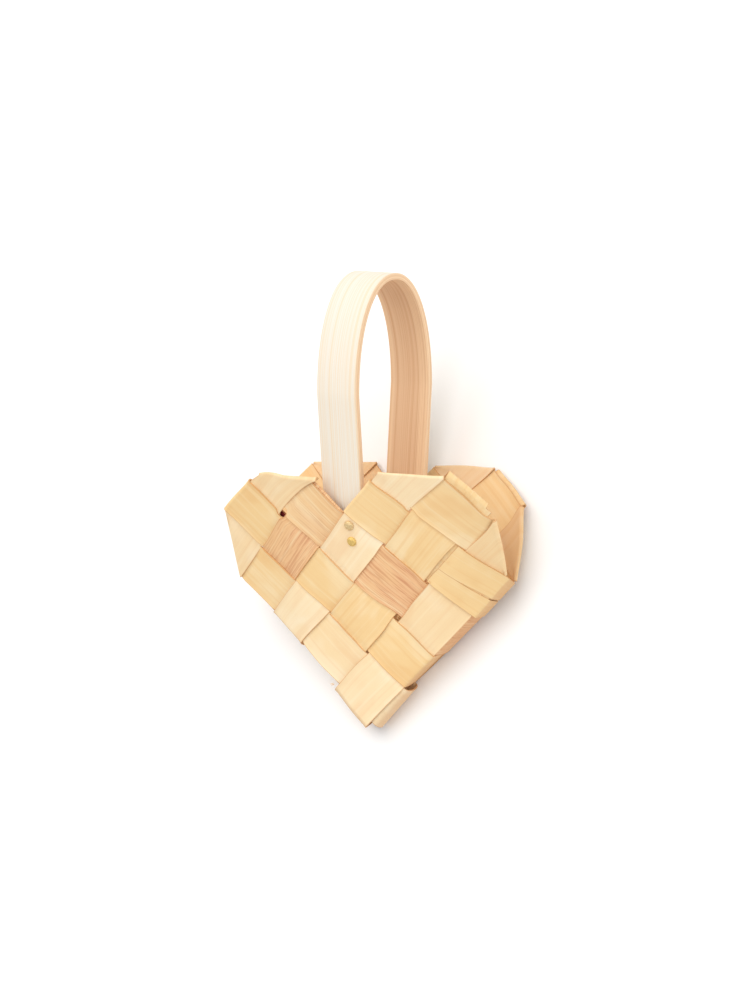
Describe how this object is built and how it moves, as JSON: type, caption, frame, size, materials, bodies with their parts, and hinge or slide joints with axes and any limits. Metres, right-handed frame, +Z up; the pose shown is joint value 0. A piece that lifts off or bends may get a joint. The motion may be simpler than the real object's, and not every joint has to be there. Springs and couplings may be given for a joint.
{
  "type": "heart basket",
  "caption": "Heart-shaped basket plaited on the bias from wide wood splints, open at the top, with a bentwood band handle fixed by small brass tacks.",
  "frame": {"origin": "centre of the bounding box's footprint, on the plane that the basket lies on", "axes": "+Z up from the back panel that it lies on, +Y from the heart's tip towards the handle, +X to the heart's right as seen from the front"},
  "size_m": [0.1482, 0.2228, 0.0902],
  "materials": {
    "splint_yellow": "raw split wood, satin, yellow to cream with fine grain along the splint",
    "splint_cream": "raw split wood, satin, pale cream with fine grain along the splint",
    "splint_brown": "raw split wood, satin, light brown in places with red-brown grain along the splint",
    "handle_wood": "planed and bent wood, satin, near-white with fine grain along the band",
    "tack_brass": "polished brass dome, slightly dulled"
  },
  "bodies": {
    "root": {"splint_left_loop": "splint_yellow", "splint_right_loop": "splint_cream", "splint_upper_left": "splint_yellow", "splint_upper_right": "splint_yellow", "splint_notch_left": "splint_brown", "splint_notch_right": "splint_yellow", "handle": "handle_wood", "front_tack_upper": "tack_brass", "front_tack_lower": "tack_brass", "back_tack_upper": "tack_brass", "back_tack_lower": "tack_brass"}
  },
  "joints": []
}
